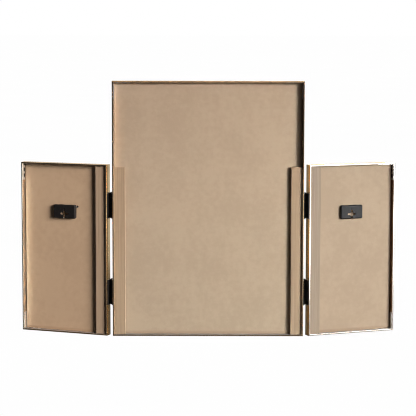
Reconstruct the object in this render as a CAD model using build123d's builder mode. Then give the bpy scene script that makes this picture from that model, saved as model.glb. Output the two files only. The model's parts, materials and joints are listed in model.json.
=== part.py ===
from build123d import *
import math
import os
from dataclasses import dataclass

# Trifold vanity mirror: a tall centre mirror with a lower wing on each side.
# Each wing swings on two butt hinges, from a little behind flat until it lies
# closed over the centre glass. Sizes are in millimetres and degrees.
#
# The glass faces -Y and +Z is up. The origin is at the bottom centre of the
# centre panel, halfway through its depth. Left and right are those of a
# person who looks into the glass, so the right wing is on the +X side.

# ---- Panels ----
centre_width = 457.0
centre_height = 612.0
wing_width = 227.0
wing_height = 412.5
fold_angle = 21.0  # how far each wing is folded forward from flat

# ---- Frame rails: a wall round the panel, with a lip over the glass ----
rail_depth = 21.0
rail_wall = 3.5
lip_reach = 3.0
lip_thickness = 1.5
outer_edge_radius = 0.8
inner_edge_radius = 0.6

# ---- What each frame holds, from the lip backwards ----
glass_thickness = 4.0
foam_thickness = 1.0
board_thickness = 3.0
edge_clearance = 0.5
wing_board_gap = 3.0  # a wing's board and foam stop this far short of its outer wall
glass_arris = 0.5

# ---- Battens that take the hinge screws ----
batten_width = 27.0
batten_thickness = 8.0
centre_batten_length = 403.5
batten_edge_chamfer = 0.6

# ---- Corner braces: a bent strip with one slotted leg ----
brace_leg = 40.0
brace_width = 10.0
brace_thickness = 1.2
brace_bend_radius = 1.0
brace_slot_length = 10.0
brace_slot_width = 6.0
brace_slot_shift = 1.4  # from the middle of the strip towards the board
brace_slot_pitch = 14.4
brace_slot_count = 3
brace_first_slot = 0.8  # its middle, from the corner, so that the strip is bent across it

# ---- Hinges ----
hinge_height = 61.0
lower_hinge_middle = 105.0
upper_hinge_middle = 314.0
hinge_gap = 6.0  # between the side faces of two panels that lie flat
axis_proud = 1.5  # how far the pin's axis stands in front of the lips
knuckle_count = 5
knuckle_gap = 0.3
leaf_thickness = 1.5
leaf_reach = 20.5
leaf_corner_radius = 1.5
leaf_notch_clearance = 0.4
pin_radius = 1.4
pin_fit = 0.05
pin_head_radius = 2.5
pin_head_height = 1.2
pin_head_fillet = 0.6

# ---- Countersunk screws through leaf and wall into the batten ----
screw_length = 16.0
screw_radius = 1.5
screw_head_radius = 3.0
screw_tip_length = 2.5
screw_tip_radius = 0.3
screw_fit = 0.05
screw_pitch = 20.0
screw_count = 3
recess_span = 3.2
recess_slot = 0.7
recess_depth = 0.9

# ---- Hangers: a pressed box with a four-way keyhole, one on each wing ----
hanger_width = 58.0
hanger_height = 33.0
hanger_stand = 8.0
hanger_sheet = 1.2
hanger_middle = 295.5
hanger_corner_radius = 3.5
hanger_edge_radius = 3.0
hanger_foot_width = 9.0
hanger_foot_height = 20.0
keyhole_drop = 5.0  # from the middle of the box down to the middle of the keyhole
keyhole_radius = 5.0
keyhole_slot_reach = 10.8
keyhole_slot_width = 4.6
rivet_radius = 1.5
rivet_head_radius = 2.75
rivet_head_height = 1.2
rivet_fit = 0.05

# ---- Worked out from the sizes above ----
glass_front = lip_thickness
foam_front = glass_front + glass_thickness
board_front = foam_front + foam_thickness
board_back = board_front + board_thickness
lip_width = rail_wall + lip_reach
screw_depth = board_back + batten_thickness / 2
screw_head_height = screw_head_radius - screw_radius
knuckle_radius = hinge_gap / 2
knuckle_pitch = (hinge_height + knuckle_gap) / knuckle_count
knuckle_length = knuckle_pitch - knuckle_gap
pin_bore_radius = pin_radius + pin_fit
axis_x = centre_width / 2 + hinge_gap / 2
axis_y = -rail_depth / 2 - axis_proud
fold_sine = math.sin(math.radians(fold_angle))
fold_cosine = math.cos(math.radians(fold_angle))

os.makedirs("parts", exist_ok=True)


@dataclass
class Panel:
    """One framed mirror. Its front plane lies on the lips: x right, y up, z out of the glass."""

    front: Plane
    left: float
    right: float
    height: float


def save(piece, name):
    """Label a finished piece and write it as its own STEP file."""
    piece.part.label = name
    export_step(piece.part, f"parts/{name}.step")


def screw_plane(hinge, side, rise):
    """Plane along one screw: x runs from its head into the batten."""
    head = (side * (hinge_gap / 2 - leaf_thickness), axis_proud + screw_depth, rise)
    return Plane(
        origin=hinge.from_local_coords(head),
        x_dir=hinge.x_dir * side,
        z_dir=hinge.z_dir,
    )


def screw_planes(hinges, side):
    """The planes of all screws in one leaf of each hinge."""
    rises = [screw_pitch * (i - (screw_count - 1) / 2) for i in range(screw_count)]
    return [screw_plane(hinge, side, rise) for hinge in hinges for rise in rises]


def turn_screw(plane, clearance, mode):
    """Turn one countersunk screw about the x axis of its plane, grown by a clearance."""
    shank = screw_radius + clearance
    head = screw_head_radius + clearance
    taper_start = screw_length - screw_tip_length + clearance
    tip = screw_length + 2 * clearance
    with BuildSketch(plane) as half_section:
        with BuildLine():
            Polyline(
                (0, 0),
                (0, head),
                (screw_head_height, shank),
                (taper_start, shank),
                (tip, screw_tip_radius + clearance),
                (tip, 0),
                close=True,
            )
        make_face()
    revolve(half_section.sketch, axis=Axis(plane.origin, plane.x_dir), mode=mode)


def frame_rail(panel, start, end, screws=()):
    """Mitred rail between two outer corners, taken anticlockwise as seen from the front."""
    run = Vector(*end) - Vector(*start)
    along = (panel.front.x_dir * run.X + panel.front.y_dir * run.Y) / run.length
    inward = panel.front.z_dir.cross(along)
    start_point = panel.front.from_local_coords(Vector(*start))
    end_point = panel.front.from_local_coords(Vector(*end))
    with BuildPart() as rail:
        with BuildSketch(Plane(origin=start_point, x_dir=inward, z_dir=along)) as section:
            with BuildLine():
                Polyline(
                    (0, 0),
                    (lip_width, 0),
                    (lip_width, -lip_thickness),
                    (rail_wall, -lip_thickness),
                    (rail_wall, -rail_depth),
                    (0, -rail_depth),
                    close=True,
                )
            make_face()
            lip_edge = section.vertices().group_by(Axis.X)[-1].sort_by(Axis.Y)[-1]
            rim_edge = section.vertices().group_by(Axis.Y)[0].sort_by(Axis.X)[-1]
            fillet([lip_edge, rim_edge], radius=inner_edge_radius)
            fillet(section.vertices().group_by(Axis.X)[0], radius=outer_edge_radius)
        extrude(amount=run.length)
        split(bisect_by=Plane(origin=start_point, z_dir=along - inward), keep=Keep.TOP)
        split(bisect_by=Plane(origin=end_point, z_dir=-along - inward), keep=Keep.TOP)
        for plane in screws:
            turn_screw(plane, screw_fit, Mode.SUBTRACT)
    return rail


def panel_rails(panel, left_screws=(), right_screws=()):
    """The four rails of one frame, by the side that each is on."""
    bottom_left = (panel.left, 0)
    bottom_right = (panel.right, 0)
    top_right = (panel.right, panel.height)
    top_left = (panel.left, panel.height)
    return {
        "bottom": frame_rail(panel, bottom_left, bottom_right),
        "right": frame_rail(panel, bottom_right, top_right, right_screws),
        "top": frame_rail(panel, top_right, top_left),
        "left": frame_rail(panel, top_left, bottom_left, left_screws),
    }


def pack_sheet(panel, depth, thickness, left_gap=edge_clearance, right_gap=edge_clearance):
    """Start of a sheet that fills the frame between its walls, less a gap at each side."""
    left = panel.left + rail_wall + left_gap
    right = panel.right - rail_wall - right_gap
    height = panel.height - 2 * (rail_wall + edge_clearance)
    with BuildSketch(panel.front.offset(-depth)) as outline:
        with Locations(((left + right) / 2, panel.height / 2)):
            Rectangle(right - left, height)
    extrude(outline.sketch, amount=-thickness)


def mirror_glass(panel):
    """Silvered glass with its front edges ground off."""
    with BuildPart() as glass:
        pack_sheet(panel, glass_front, glass_thickness)
        front_face = glass.faces().sort_by(Axis(panel.front.origin, panel.front.z_dir))[-1]
        chamfer(front_face.edges(), length=glass_arris)
    return glass


def foam_sheet(panel, *gaps):
    """Thin foam that keeps the board off the silvering."""
    with BuildPart() as foam:
        pack_sheet(panel, foam_front, foam_thickness, *gaps)
    return foam


def backing_board(panel, *gaps, rivets=()):
    """Fibreboard back, with countersunk holes where rivets hold a hanger."""
    with BuildPart() as board:
        pack_sheet(panel, board_front, board_thickness, *gaps)
        for plane in rivets:
            rivet_hole(plane)
    return board


def batten(panel, side, length, screws):
    """Wooden strip along one side wall (-1 left, 1 right), bored for the hinge screws."""
    wall_x = (panel.right - rail_wall) if side > 0 else (panel.left + rail_wall)
    with BuildPart() as strip:
        with BuildSketch(panel.front.offset(-board_back)):
            with Locations((wall_x - side * batten_width / 2, rail_wall + length / 2)):
                Rectangle(batten_width, length)
        extrude(amount=-batten_thickness)
        back_face = strip.faces().sort_by(Axis(panel.front.origin, panel.front.z_dir))[0]
        chamfer(back_face.edges(), length=batten_edge_chamfer)
        for plane in screws:
            turn_screw(plane, screw_fit, Mode.SUBTRACT)
    return strip


def corner_braces(panel, corners):
    """Bent strips inside frame corners.

    Each corner is (side, end, slotted), with side -1 left or 1 right, end 0 bottom
    or 1 top, and slotted "upright" or "level" for the leg that has the slots.
    """
    slot_depth = board_back + brace_width / 2 - brace_slot_shift
    middle_slot = brace_first_slot + brace_slot_pitch * (brace_slot_count - 1) / 2
    with BuildPart() as braces:
        for side, end, slotted in corners:
            x = (panel.right - rail_wall) if side > 0 else (panel.left + rail_wall)
            y = (panel.height - rail_wall) if end else rail_wall
            inward_x = -side
            inward_y = -1 if end else 1
            inner_x = x + inward_x * brace_thickness
            inner_y = y + inward_y * brace_thickness
            tip_x = x + inward_x * brace_leg
            tip_y = y + inward_y * brace_leg
            with BuildSketch(panel.front.offset(-board_back)) as strip:
                with BuildLine():
                    Polyline(
                        (x, y),
                        (tip_x, y),
                        (tip_x, inner_y),
                        (inner_x, inner_y),
                        (inner_x, tip_y),
                        (x, tip_y),
                        close=True,
                    )
                make_face()
                inner_bend = strip.vertices().sort_by_distance((inner_x, inner_y))[0]
                fillet(inner_bend, radius=brace_bend_radius)
                outer_bend = strip.vertices().sort_by_distance((x, y))[0]
                fillet(outer_bend, radius=brace_bend_radius + brace_thickness)
            extrude(amount=-brace_width)
            level_dir = panel.front.x_dir * inward_x
            upright_dir = panel.front.y_dir * inward_y
            if slotted == "upright":
                leg_dir, through_dir = upright_dir, level_dir
            else:
                leg_dir, through_dir = level_dir, upright_dir
            corner_point = panel.front.from_local_coords(Vector(x, y, -slot_depth))
            with BuildSketch(Plane(origin=corner_point, x_dir=leg_dir, z_dir=through_dir)):
                with Locations((middle_slot, 0)):
                    with GridLocations(brace_slot_pitch, 0, brace_slot_count, 1):
                        SlotOverall(brace_slot_length, brace_slot_width)
            extrude(amount=brace_thickness, mode=Mode.SUBTRACT)
    return braces


def hinge_leaf(hinge, side, own_knuckles, screws):
    """One leaf, on the fixed side (-1) or the wing side (1), with every other knuckle.

    The hinge's plane is a level section at mid height: its origin is on the pin's
    axis, x points to the wing and y points back along the panels' side faces.
    """
    plate_x = side * (hinge_gap / 2 - leaf_thickness / 2)
    plate_start = knuckle_radius + leaf_notch_clearance
    with BuildPart() as leaf:
        with BuildSketch(hinge):
            with Locations((plate_x, (plate_start + leaf_reach) / 2)):
                Rectangle(leaf_thickness, leaf_reach - plate_start)
        extrude(amount=hinge_height / 2, both=True)
        tip_face = leaf.faces().sort_by(Axis(hinge.origin, hinge.y_dir))[-1]
        tip_edges = tip_face.edges().filter_by(Axis(hinge.origin, hinge.x_dir))
        fillet(tip_edges, radius=leaf_corner_radius)
        for i in own_knuckles:
            with BuildSketch(hinge.offset(knuckle_pitch * (i - (knuckle_count - 1) / 2))):
                Circle(knuckle_radius)
                with Locations((plate_x, plate_start / 2)):
                    Rectangle(leaf_thickness, plate_start)
            extrude(amount=knuckle_length / 2, both=True)
        with BuildSketch(hinge):
            Circle(pin_bore_radius)
        extrude(amount=hinge_height, both=True, mode=Mode.SUBTRACT)
        for plane in screws:
            turn_screw(plane, screw_fit, Mode.SUBTRACT)
    return leaf


def hinge_pin(hinge):
    """Pin with a head pressed against each end of the barrel."""
    with BuildPart() as pin:
        with BuildSketch(hinge):
            Circle(pin_radius)
        extrude(amount=hinge_height / 2, both=True)
        for end in (-1, 1):
            with BuildSketch(hinge.offset(end * hinge_height / 2)):
                Circle(pin_head_radius)
            extrude(amount=end * pin_head_height)
        ends = pin.faces().sort_by(Axis.Z)
        fillet([ends[0].edges()[0], ends[-1].edges()[0]], radius=pin_head_fillet)
    return pin


def wood_screws(planes):
    """Countersunk screws with a cross recess."""
    with BuildPart() as screws:
        for plane in planes:
            turn_screw(plane, 0, Mode.ADD)
            with BuildSketch(Plane(origin=plane.origin, x_dir=plane.z_dir, z_dir=plane.x_dir)):
                Rectangle(recess_span, recess_slot)
                Rectangle(recess_slot, recess_span)
            extrude(amount=recess_depth, mode=Mode.SUBTRACT)
    return screws


def rivet_planes(panel):
    """Planes along the two rivets of a wing's hanger: x runs back from the board's front."""
    middle_x = (panel.left + panel.right) / 2
    reach = hanger_width / 2 - hanger_sheet - hanger_foot_width / 2
    planes = []
    for x in (middle_x - reach, middle_x + reach):
        point = panel.front.from_local_coords(Vector(x, hanger_middle, -board_front))
        planes.append(Plane(origin=point, x_dir=-panel.front.z_dir, z_dir=panel.front.y_dir))
    return planes


def rivet_hole(plane):
    """Cut the clearance for one rivet through the board and the hanger's foot."""
    shank = rivet_radius + rivet_fit
    head = rivet_head_radius + rivet_fit
    through = board_thickness + hanger_sheet
    with BuildSketch(plane) as half_section:
        with BuildLine():
            Polyline(
                (0, 0),
                (0, head),
                (rivet_head_radius - rivet_radius, shank),
                (through, shank),
                (through, 0),
                close=True,
            )
        make_face()
    revolve(half_section.sketch, axis=Axis(plane.origin, plane.x_dir), mode=Mode.SUBTRACT)


def hanger_rivets(planes):
    """Rivets with a flush head in the board's front and a domed head on the foot."""
    grip = board_thickness + hanger_sheet
    dome_top = grip + rivet_head_height
    dome_radius = (rivet_head_radius**2 + rivet_head_height**2) / (2 * rivet_head_height)
    half_way = rivet_head_radius / 2
    half_way_rise = dome_top - dome_radius + math.sqrt(dome_radius**2 - half_way**2)
    with BuildPart() as rivets:
        for plane in planes:
            with BuildSketch(plane):
                with BuildLine():
                    Polyline(
                        (dome_top, 0),
                        (0, 0),
                        (0, rivet_head_radius),
                        (rivet_head_radius - rivet_radius, rivet_radius),
                        (grip, rivet_radius),
                        (grip, rivet_head_radius),
                    )
                    ThreePointArc(
                        (grip, rivet_head_radius),
                        (half_way_rise, half_way),
                        (dome_top, 0),
                    )
                make_face()
            revolve(axis=Axis(plane.origin, plane.x_dir))
    return rivets


def hanger_plate(panel, rivets):
    """Pressed box, open towards the board, with feet turned in and a four-way keyhole."""
    middle_x = (panel.left + panel.right) / 2
    bottom = hanger_middle - hanger_height / 2
    keyhole_y = hanger_middle - keyhole_drop
    board_plane = panel.front.offset(-board_back)
    face_plane = panel.front.offset(-board_back - hanger_stand)
    with BuildPart() as hanger:
        with BuildSketch(board_plane):
            with Locations((middle_x, hanger_middle)):
                RectangleRounded(hanger_width, hanger_height, hanger_corner_radius)
        extrude(amount=-hanger_stand)
        back_face = hanger.faces().sort_by(Axis(panel.front.origin, panel.front.z_dir))[0]
        fillet(back_face.edges(), radius=hanger_edge_radius)
        board_face = hanger.faces().sort_by(Axis(panel.front.origin, panel.front.z_dir))[-1]
        offset(amount=-hanger_sheet, openings=board_face)
        foot_reach = hanger_width / 2 - hanger_sheet - hanger_foot_width / 2
        with BuildSketch(board_plane):
            with Locations(
                (middle_x - foot_reach, hanger_middle),
                (middle_x + foot_reach, hanger_middle),
            ):
                Rectangle(hanger_foot_width, hanger_foot_height)
        extrude(amount=-hanger_sheet)
        with BuildSketch(face_plane):
            with Locations((middle_x, keyhole_y)):
                Circle(keyhole_radius)
                SlotOverall(2 * keyhole_slot_reach, keyhole_slot_width)
                SlotOverall(2 * keyhole_slot_reach, keyhole_slot_width, rotation=90)
        extrude(amount=hanger_sheet, mode=Mode.SUBTRACT)
        with BuildSketch(face_plane):
            with Locations((middle_x, (bottom + keyhole_y) / 2)):
                Rectangle(keyhole_slot_width, keyhole_y - bottom)
        extrude(amount=hanger_stand, mode=Mode.SUBTRACT)
        for plane in rivets:
            rivet_hole(plane)
    return hanger


def hinge_plane(side, fold, middle):
    """Level plane through a hinge's middle: x points to the wing (1 right, -1 left), y back."""
    turn = math.radians(fold)
    return Plane(
        origin=(side * axis_x, axis_y, middle),
        x_dir=(side * math.cos(turn), -math.sin(turn), 0),
        z_dir=(0, 0, side),
    )


def wing_panel(side):
    """The wing on one side, folded forward about its hinges' axis."""
    axis_plane = Plane(
        origin=(side * axis_x, axis_y, 0),
        x_dir=(fold_cosine, -side * fold_sine, 0),
        z_dir=(-side * fold_sine, -fold_cosine, 0),
    )
    near = side * hinge_gap / 2
    far = side * (hinge_gap / 2 + wing_width)
    return Panel(axis_plane.offset(-axis_proud), min(near, far), max(near, far), wing_height)


hinge_middles = {"lower": lower_hinge_middle, "upper": upper_hinge_middle}
own_by_fixed_leaf = range(0, knuckle_count, 2)
own_by_wing_leaf = range(1, knuckle_count, 2)
centre = Panel(
    Plane(origin=(0, -rail_depth / 2, 0), x_dir=(1, 0, 0), z_dir=(0, -1, 0)),
    -centre_width / 2,
    centre_width / 2,
    centre_height,
)

# ---- Hinges, and the screws that they share with each panel ----
fixed_screws = {}
wing_screws = {}
for side, side_name in ((-1, "left"), (1, "right")):
    fixed_planes = [hinge_plane(side, 0, middle) for middle in hinge_middles.values()]
    wing_planes = [hinge_plane(side, fold_angle, middle) for middle in hinge_middles.values()]
    fixed_screws[side] = screw_planes(fixed_planes, -1)
    wing_screws[side] = screw_planes(wing_planes, 1)
    for level, fixed_plane, wing_plane in zip(hinge_middles, fixed_planes, wing_planes):
        hinge_name = f"{side_name}_{level}_hinge"
        fixed_leaf = hinge_leaf(fixed_plane, -1, own_by_fixed_leaf, fixed_screws[side])
        save(fixed_leaf, f"{hinge_name}_fixed_leaf")
        wing_leaf = hinge_leaf(wing_plane, 1, own_by_wing_leaf, wing_screws[side])
        save(wing_leaf, f"{hinge_name}_wing_leaf")
        save(hinge_pin(fixed_plane), f"{hinge_name}_pin")
    save(wood_screws(fixed_screws[side]), f"{side_name}_hinge_centre_screws")
    save(wood_screws(wing_screws[side]), f"{side_name}_hinge_wing_screws")

# ---- Centre panel ----
for rail_name, rail in panel_rails(centre, fixed_screws[-1], fixed_screws[1]).items():
    save(rail, f"centre_{rail_name}_rail")
save(mirror_glass(centre), "centre_mirror_glass")
save(foam_sheet(centre), "centre_foam_sheet")
save(backing_board(centre), "centre_backing_board")
save(batten(centre, -1, centre_batten_length, fixed_screws[-1]), "centre_left_batten")
save(batten(centre, 1, centre_batten_length, fixed_screws[1]), "centre_right_batten")
centre_corners = ((-1, 1, "level"), (1, 1, "level"))
save(corner_braces(centre, centre_corners), "centre_corner_braces")

# ---- Wings ----
wing_batten_length = wing_height - 2 * rail_wall
for side, side_name in ((-1, "left"), (1, "right")):
    wing = wing_panel(side)
    wing_name = f"{side_name}_wing"
    screws = {-side: wing_screws[side], side: ()}
    rivets = rivet_planes(wing)
    gaps = (edge_clearance, wing_board_gap) if side > 0 else (wing_board_gap, edge_clearance)
    rail_names = {
        "bottom": "bottom",
        "top": "top",
        "left": "outer" if side < 0 else "hinge",
        "right": "hinge" if side < 0 else "outer",
    }
    for place, rail in panel_rails(wing, screws[-1], screws[1]).items():
        save(rail, f"{wing_name}_{rail_names[place]}_rail")
    save(mirror_glass(wing), f"{wing_name}_mirror_glass")
    save(foam_sheet(wing, *gaps), f"{wing_name}_foam_sheet")
    save(backing_board(wing, *gaps, rivets=rivets), f"{wing_name}_backing_board")
    save(batten(wing, -side, wing_batten_length, wing_screws[side]), f"{wing_name}_batten")
    wing_corners = ((side, 1, "upright"), (side, 0, "level"))
    save(corner_braces(wing, wing_corners), f"{wing_name}_corner_braces")
    save(hanger_plate(wing, rivets), f"{wing_name}_hanger_plate")
    save(hanger_rivets(rivets), f"{wing_name}_hanger_rivets")
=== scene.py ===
"""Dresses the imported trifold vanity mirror: gilt frames, silvered glass, boards and black hinges.

Lengths are in metres and angles in radians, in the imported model's frame: +Z is up, the glass
faces -Y, and the right wing is on the +X side. A panel's own axes are that frame turned about Z
until x runs along the panel, so that y is its depth, from the glass to the open back.
"""

import json
import logging
import math
from collections.abc import Callable, Mapping
from dataclasses import dataclass, replace
from enum import Enum
from typing import Any

import bmesh
import bpy
from mathutils import Matrix, Vector

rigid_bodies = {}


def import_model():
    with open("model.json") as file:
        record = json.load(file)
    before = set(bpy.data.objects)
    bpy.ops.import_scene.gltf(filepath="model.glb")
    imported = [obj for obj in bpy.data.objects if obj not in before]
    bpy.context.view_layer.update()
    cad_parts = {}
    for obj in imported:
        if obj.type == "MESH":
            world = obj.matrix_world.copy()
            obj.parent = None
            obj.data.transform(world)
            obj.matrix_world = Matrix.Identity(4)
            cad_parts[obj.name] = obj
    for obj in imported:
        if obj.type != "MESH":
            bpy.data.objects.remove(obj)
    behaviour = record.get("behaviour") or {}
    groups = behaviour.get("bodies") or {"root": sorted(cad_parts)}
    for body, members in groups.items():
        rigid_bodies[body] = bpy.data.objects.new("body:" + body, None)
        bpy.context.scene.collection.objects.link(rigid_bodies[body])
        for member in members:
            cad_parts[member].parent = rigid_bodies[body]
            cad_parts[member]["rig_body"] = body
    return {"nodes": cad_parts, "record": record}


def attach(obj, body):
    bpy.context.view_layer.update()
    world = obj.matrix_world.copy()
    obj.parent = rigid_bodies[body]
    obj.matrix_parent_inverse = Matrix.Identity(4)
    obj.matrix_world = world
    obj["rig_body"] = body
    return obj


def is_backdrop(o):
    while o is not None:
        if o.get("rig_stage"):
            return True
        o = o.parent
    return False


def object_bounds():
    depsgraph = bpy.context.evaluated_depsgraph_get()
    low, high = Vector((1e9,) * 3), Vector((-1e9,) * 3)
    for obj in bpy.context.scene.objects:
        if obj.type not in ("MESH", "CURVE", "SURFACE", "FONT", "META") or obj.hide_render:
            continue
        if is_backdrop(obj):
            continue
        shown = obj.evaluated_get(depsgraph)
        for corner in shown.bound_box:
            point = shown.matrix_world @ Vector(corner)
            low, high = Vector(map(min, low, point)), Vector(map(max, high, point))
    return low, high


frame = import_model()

LOG = logging.getLogger("vanity_mirror")
MILLIMETRE = 0.001

# Where the lights stand, and how wide their beams are.
KEY_SIDE = math.radians(54.5)
KEY_BEAM = math.radians(30.0)
CENTRE_SIDE = math.radians(56.0)
LOW_SIDE = math.radians(50.0)
WING_SIDE = math.radians(45.0)
WING_BEAM = math.radians(45.0)
WALL_SIDE = math.radians(34.0)
CARD_SIDE = math.radians(138.0)
FRONT_SIDE = math.radians(160.0)

# Bodies and single pieces that a light may be kept to.
CENTRE_BODY = "centre_panel"
LEFT_BODY = "left_wing"
RIGHT_BODY = "right_wing"
OUTER_WALL = ("right_wing_outer_rail",)
CENTRE_WALL = ("centre_right_rail",)
CENTRE_RIM = ("centre_top_rail",)
GAP_WALLS = ("right_wing_hinge_rail", "centre_left_rail")

# Outputs of shader nodes by index, where it isn't the first that is wanted.
TEXTURE_NORMAL = 1
TEXTURE_OBJECT = 3
GEOMETRY_NORMAL = 1
VECTOR_VALUE = 1
CELL_COLOUR = 1
MIXED_COLOUR = 2

Colour = tuple[float, float, float]
Triple = tuple[float, float, float]

# Where a soft step leaves 0, and where it reaches 1.
Edge = tuple[float, float]


class Side(Enum):
    """A side of the mirror for a person who looks into it, as the sign of its X."""

    LEFT = -1
    RIGHT = 1

    @property
    def word(self) -> str:
        """The side's name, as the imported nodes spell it."""
        return self.name.lower()


class End(Enum):
    """An end of a panel, as the sign of its height above the middle."""

    BOTTOM = -1
    TOP = 1


class Run(Enum):
    """The way that polishing lines or wood grain run, in a panel's own axes."""

    LEVEL = "level"
    UPRIGHT = "upright"


# ---- Shader graph ----


@dataclass(frozen=True)
class Noise:
    """Smooth noise: its cells to a metre, its octaves of finer noise and their strength."""

    scale: float
    detail: float = 2.0
    roughness: float = 0.5


@dataclass(frozen=True)
class Lines:
    """Noise drawn out into lines: its cells to a metre along a line, and across the lines."""

    along: float
    across: float


LINE_NOISE = Noise(scale=1.0, detail=3.0)


class Signal:
    """One output of a shader node. Arithmetic on numbers adds Math nodes."""

    def __init__(self, graph: "ShaderGraph", node: bpy.types.Node, output: int = 0) -> None:
        """Wrap an output.

        Args:
            graph: The graph that new Math nodes go into.
            node: The node.
            output: The index of its output.
        """
        self.graph = graph
        self.node = node
        self.output = output

    @property
    def socket(self) -> bpy.types.NodeSocket:
        """The output's socket."""
        return self.node.outputs[self.output]

    def _math(self, operation: str, first: Any, second: Any) -> "Signal":
        """Add one Math node.

        Args:
            operation: The Math node's operation.
            first: Its first operand, a signal or a number.
            second: Its second operand, a signal or a number.

        Returns:
            The node's result.
        """
        values = {"Value": first, "Value_001": second}
        return self.graph.node("ShaderNodeMath", {"operation": operation}, values)

    def __add__(self, other: Any) -> "Signal":
        """Sum with a signal or a number."""
        return self._math("ADD", self, other)

    def __radd__(self, other: Any) -> "Signal":
        """Sum with a number on the left."""
        return self._math("ADD", other, self)

    def __sub__(self, other: Any) -> "Signal":
        """Difference from a signal or a number."""
        return self._math("SUBTRACT", self, other)

    def __rsub__(self, other: Any) -> "Signal":
        """Difference from a number on the left."""
        return self._math("SUBTRACT", other, self)

    def __mul__(self, other: Any) -> "Signal":
        """Product with a signal or a number."""
        return self._math("MULTIPLY", self, other)

    def __rmul__(self, other: Any) -> "Signal":
        """Product with a number on the left."""
        return self._math("MULTIPLY", other, self)

    def __neg__(self) -> "Signal":
        """The same value with its sign changed."""
        return self._math("SUBTRACT", 0.0, self)

    def at_least(self, other: Any) -> "Signal":
        """The larger of this and another signal or number."""
        return self._math("MAXIMUM", self, other)


class ShaderGraph:
    """The node tree of one material, or of the world, while it is being made."""

    def __init__(self, tree: bpy.types.NodeTree) -> None:
        """Empty a node tree and work in it.

        Args:
            tree: The node tree.
        """
        self.tree = tree
        self.tree.nodes.clear()

    def node(
        self,
        kind: str,
        settings: Mapping[str, Any] | None = None,
        values: Mapping[str, Any] | None = None,
        output: int = 0,
    ) -> Signal:
        """Add a node of any type.

        Args:
            kind: The node's type name.
            settings: Its properties, set first.
            values: A constant or a signal for each input socket, by identifier.
            output: The index of the output socket that is wanted.

        Returns:
            That output.
        """
        made = self.tree.nodes.new(kind)
        for name, setting in (settings or {}).items():
            setattr(made, name, setting)
        sockets = {socket.identifier: socket for socket in made.inputs}
        for name, value in (values or {}).items():
            if isinstance(value, Signal):
                self.tree.links.new(value.socket, sockets[name])
            else:
                sockets[name].default_value = value
        return Signal(self, made, output)

    def coordinates(self, turn: float) -> Signal:
        """Object coordinates in a panel's own axes.

        Args:
            turn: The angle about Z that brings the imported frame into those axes.

        Returns:
            The coordinates.
        """
        return self._turned(self.node("ShaderNodeTexCoord", output=TEXTURE_OBJECT), turn)

    def directions(self, turn: float) -> Signal:
        """The way that the surface faces, in a panel's own axes.

        Args:
            turn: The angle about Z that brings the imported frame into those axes.

        Returns:
            The surface's normal.
        """
        return self._turned(self.node("ShaderNodeTexCoord", output=TEXTURE_NORMAL), turn)

    def _turned(self, vector: Signal, turn: float) -> Signal:
        """Turn a vector about Z.

        Args:
            vector: The vector.
            turn: The angle.

        Returns:
            The turned vector.
        """
        if not turn:
            return vector
        values = {"Vector": vector, "Rotation": (0.0, 0.0, turn)}
        return self.node("ShaderNodeMapping", {}, values)

    def vector_math(self, operation: str, first: Any, second: Any, output: int = 0) -> Signal:
        """Add one Vector Math node.

        Args:
            operation: The node's operation.
            first: Its first operand, a signal or a vector.
            second: Its second operand, a signal or a vector.
            output: The index of the output that is wanted.

        Returns:
            The node's result.
        """
        values = {"Vector": first, "Vector_001": second}
        return self.node("ShaderNodeVectorMath", {"operation": operation}, values, output)

    def axes(self, vector: Signal) -> tuple[Signal, Signal, Signal]:
        """Split a vector.

        Args:
            vector: The vector.

        Returns:
            Its x, y and z.
        """
        split = self.node("ShaderNodeSeparateXYZ", {}, {"Vector": vector}).node
        return Signal(self, split, 0), Signal(self, split, 1), Signal(self, split, 2)

    def noise(self, vector: Signal, noise: Noise) -> Signal:
        """Smooth noise.

        Args:
            vector: Where it is read.
            noise: How fine and how rough it is.

        Returns:
            Values about 0.5.
        """
        values = {
            "Vector": vector,
            "Scale": noise.scale,
            "Detail": noise.detail,
            "Roughness": noise.roughness,
        }
        return self.node("ShaderNodeTexNoise", {}, values)

    def stretched(self, vector: Signal, scale: Triple, noise: Noise) -> Signal:
        """Noise that is finer along some axes than along others.

        Args:
            vector: Where it is read.
            scale: The factor along each axis.
            noise: How fine and how rough it is before that.

        Returns:
            Values about 0.5.
        """
        return self.noise(self.vector_math("MULTIPLY", vector, scale), noise)

    def step(self, value: Signal, low: float, high: float) -> Signal:
        """Soft step.

        Args:
            value: What is tested.
            low: Where the result leaves 0.
            high: Where it reaches 1.

        Returns:
            0 to 1. It falls instead of rising where low is above high.
        """
        falls = float(low > high)
        values = {
            "Value": value,
            "From Min": min(low, high),
            "From Max": max(low, high),
            "To Min": falls,
            "To Max": 1.0 - falls,
        }
        return self.node("ShaderNodeMapRange", {"interpolation_type": "SMOOTHSTEP"}, values)

    def mix(self, first: Any, second: Any, share: Any) -> Signal:
        """Blend two colours.

        Args:
            first: The colour at 0.
            second: The colour at 1.
            share: How much of the second there is.

        Returns:
            The blended colour.
        """
        values = {"Factor_Float": share}
        for name, colour in (("A_Color", first), ("B_Color", second)):
            values[name] = colour if isinstance(colour, Signal) else (*colour, 1.0)
        return self.node("ShaderNodeMix", {"data_type": "RGBA"}, values, MIXED_COLOUR)

    def bump(self, height: Signal, relief: float) -> Signal:
        """Surface relief.

        Args:
            height: Heights from 0 to 1.
            relief: The distance that 1 stands for.

        Returns:
            The normal.
        """
        values = {"Height": height, "Distance": relief, "Strength": 1.0}
        return self.node("ShaderNodeBump", {}, values)


# ---- Finishes ----


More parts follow.
